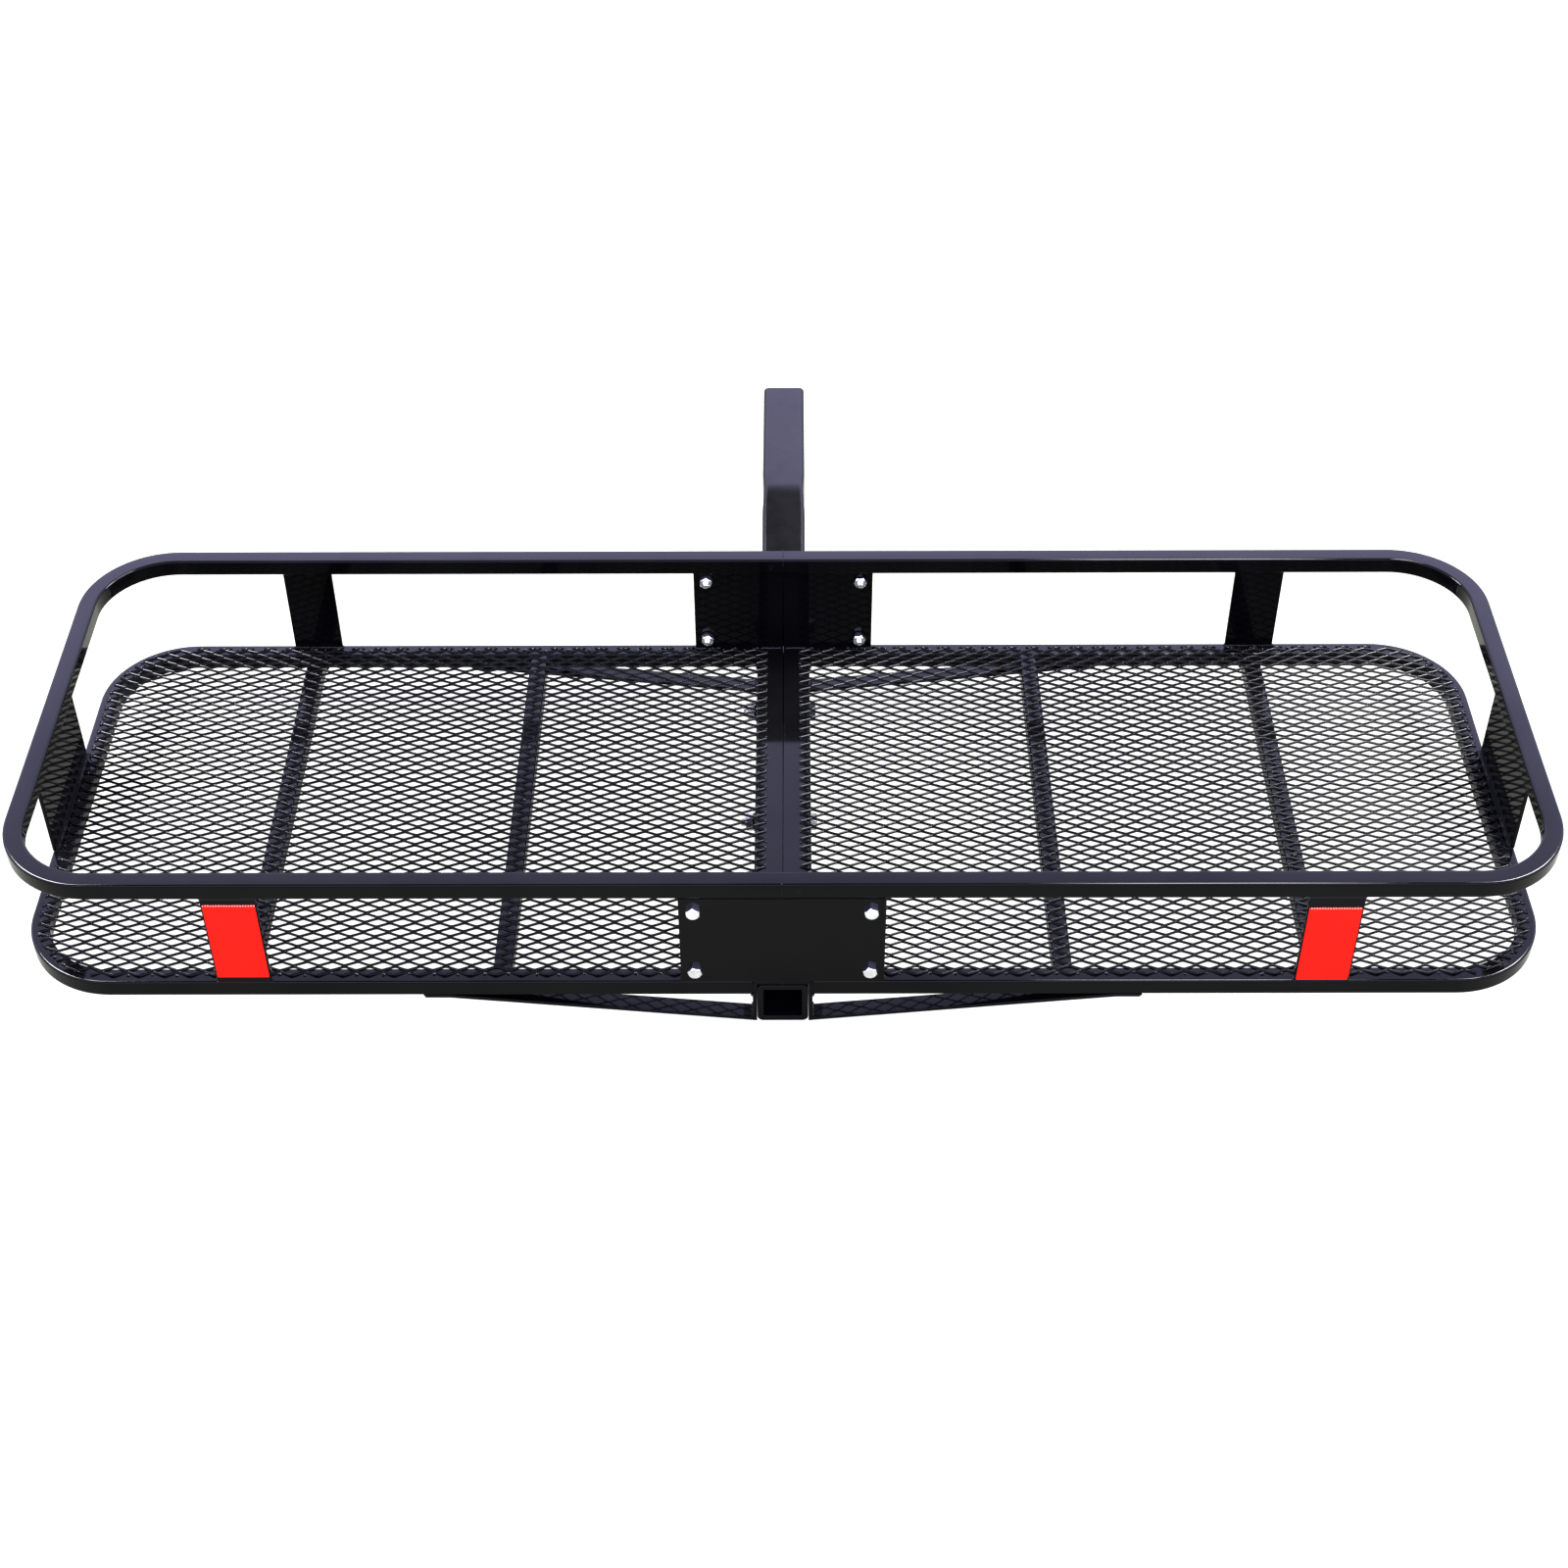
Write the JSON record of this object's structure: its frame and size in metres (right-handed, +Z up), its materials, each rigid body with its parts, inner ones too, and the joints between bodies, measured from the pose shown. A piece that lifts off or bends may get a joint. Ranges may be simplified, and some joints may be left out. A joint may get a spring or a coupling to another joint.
{
  "type": "hitch cargo carrier",
  "caption": "Black steel cargo basket with an expanded-metal floor, raised rails and red reflectors, bolted over a square shank that fits a vehicle's hitch receiver.",
  "frame": {"origin": "centre of the hitch-pin hole, on the axis of the shank's level end", "axes": "+X across the vehicle, along the hitch pin and the basket's length; +Y towards the vehicle, along the shank; +Z up"},
  "size_m": [1.524, 0.9943, 0.1908],
  "materials": {
    "painted_frame": "satin black powder coat",
    "painted_shank": "satin black powder coat, slightly duller on the shank",
    "painted_mesh": "gloss black coat on expanded metal",
    "zinc_hardware": "bright zinc plate",
    "reflective_red": "red reflective tape"
  },
  "bodies": {
    "root": {"left_floor_rail": "painted_frame", "right_floor_rail": "painted_frame", "left_top_rail": "painted_frame", "right_top_rail": "painted_frame", "left_saddle_angle": "painted_frame", "right_saddle_angle": "painted_frame", "left_outer_crossbar": "painted_frame", "right_outer_crossbar": "painted_frame", "left_inner_crossbar": "painted_frame", "right_inner_crossbar": "painted_frame", "left_mesh_panel": "painted_mesh", "right_mesh_panel": "painted_mesh", "left_end_plate": "painted_frame", "right_end_plate": "painted_frame", "tail_left_post": "painted_frame", "tail_right_post": "painted_frame", "car_left_post": "painted_frame", "car_right_post": "painted_frame", "tail_left_tab": "painted_frame", "tail_right_tab": "painted_frame", "car_left_tab": "painted_frame", "car_right_tab": "painted_frame", "tail_splice_plate": "painted_frame", "car_splice_plate": "painted_frame", "hitch_shank": "painted_shank", "tail_left_arm": "painted_frame", "tail_right_arm": "painted_frame", "car_left_arm": "painted_frame", "car_right_arm": "painted_frame", "tail_left_reflector": "reflective_red", "tail_right_reflector": "reflective_red", "splice_bolts": "zinc_hardware", "splice_washers": "zinc_hardware", "splice_nuts": "zinc_hardware", "shank_bolts": "zinc_hardware", "shank_washers": "zinc_hardware", "shank_nuts": "zinc_hardware"}
  },
  "joints": []
}
